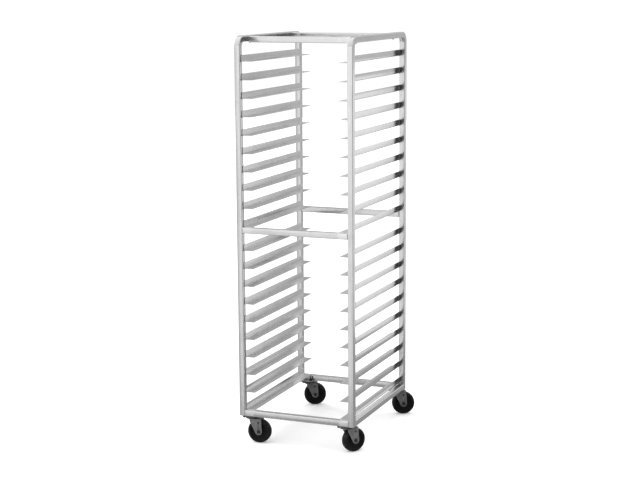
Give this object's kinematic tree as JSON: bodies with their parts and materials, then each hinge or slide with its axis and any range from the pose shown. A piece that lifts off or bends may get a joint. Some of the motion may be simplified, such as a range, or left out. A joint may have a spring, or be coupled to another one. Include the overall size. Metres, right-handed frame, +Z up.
{
  "type": "sheet pan rack",
  "caption": "Tall open welded tube rack whose side angles carry sheet pans slid in from either end, standing on swivel casters with black wheels.",
  "frame": {"origin": "on the floor, at the middle of the overall box of the rack with its casters as they stand at rest", "axes": "+X to the right seen from the loading end, +Y to the back, +Z up"},
  "size_m": [0.5602, 0.6912, 1.7199],
  "materials": {
    "aluminium": "satin mill-finish aluminium tube and angle",
    "caster_steel": "dull grey plated pressed steel",
    "wheel_rubber": "matt black solid wheel"
  },
  "bodies": {
    "rack": {"side_frame_left": "aluminium", "side_frame_right": "aluminium", "top_bar_front": "aluminium", "top_bar_back": "aluminium", "middle_bar_front": "aluminium", "middle_bar_back": "aluminium", "bottom_bar_front": "aluminium", "bottom_bar_back": "aluminium", "slide_left_01": "aluminium", "slide_right_01": "aluminium", "slide_left_02": "aluminium", "slide_right_02": "aluminium", "slide_left_03": "aluminium", "slide_right_03": "aluminium", "slide_left_04": "aluminium", "slide_right_04": "aluminium", "slide_left_05": "aluminium", "slide_right_05": "aluminium", "slide_left_06": "aluminium", "slide_right_06": "aluminium", "slide_left_07": "aluminium", "slide_right_07": "aluminium", "slide_left_08": "aluminium", "slide_right_08": "aluminium", "slide_left_09": "aluminium", "slide_right_09": "aluminium", "slide_left_10": "aluminium", "slide_right_10": "aluminium", "slide_left_11": "aluminium", "slide_right_11": "aluminium", "slide_left_12": "aluminium", "slide_right_12": "aluminium", "slide_left_13": "aluminium", "slide_right_13": "aluminium", "slide_left_14": "aluminium", "slide_right_14": "aluminium", "slide_left_15": "aluminium", "slide_right_15": "aluminium", "slide_left_16": "aluminium", "slide_right_16": "aluminium", "slide_left_17": "aluminium", "slide_right_17": "aluminium", "slide_left_18": "aluminium", "slide_right_18": "aluminium", "slide_left_19": "aluminium", "slide_right_19": "aluminium", "slide_left_20": "aluminium", "slide_right_20": "aluminium", "caster_plate_front_left": "caster_steel", "caster_plate_front_right": "caster_steel", "caster_plate_back_left": "caster_steel", "caster_plate_back_right": "caster_steel"},
    "fork_front_left": {"caster_fork_front_left": "caster_steel"},
    "wheel_front_left": {"caster_wheel_front_left": "wheel_rubber"},
    "fork_front_right": {"caster_fork_front_right": "caster_steel"},
    "wheel_front_right": {"caster_wheel_front_right": "wheel_rubber"},
    "fork_back_left": {"caster_fork_back_left": "caster_steel"},
    "wheel_back_left": {"caster_wheel_back_left": "wheel_rubber"},
    "fork_back_right": {"caster_fork_back_right": "caster_steel"},
    "wheel_back_right": {"caster_wheel_back_right": "wheel_rubber"}
  },
  "joints": [
    {"name": "swivel_front_left", "type": "hinge", "parent": "rack", "child": "fork_front_left", "pos_m": [-0.23566, -0.32271, 0.108], "axis": [0, 0, 1], "continuous": true},
    {"name": "roll_front_left", "type": "hinge", "parent": "fork_front_left", "child": "wheel_front_left", "pos_m": [-0.19777, -0.31872, 0.0508], "axis": [0.1045, -0.9945, 0], "continuous": true},
    {"name": "swivel_front_right", "type": "hinge", "parent": "rack", "child": "fork_front_right", "pos_m": [0.19614, -0.32271, 0.108], "axis": [0, 0, 1], "continuous": true},
    {"name": "roll_front_right", "type": "hinge", "parent": "fork_front_right", "child": "wheel_front_right", "pos_m": [0.21853, -0.29188, 0.0508], "axis": [0.809, -0.5878, 0], "continuous": true},
    {"name": "swivel_back_left", "type": "hinge", "parent": "rack", "child": "fork_back_left", "pos_m": [-0.23566, 0.29324, 0.108], "axis": [0, 0, 1], "continuous": true},
    {"name": "roll_back_left", "type": "hinge", "parent": "fork_back_left", "child": "wheel_back_left", "pos_m": [-0.20113, 0.30935, 0.0508], "axis": [0.4226, -0.9063, 0], "continuous": true},
    {"name": "swivel_back_right", "type": "hinge", "parent": "rack", "child": "fork_back_right", "pos_m": [0.19614, 0.29324, 0.108], "axis": [0, 0, 1], "continuous": true},
    {"name": "roll_back_right", "type": "hinge", "parent": "fork_back_right", "child": "wheel_back_right", "pos_m": [0.23008, 0.31054, 0.0508], "axis": [0.454, -0.891, 0], "continuous": true}
  ]
}
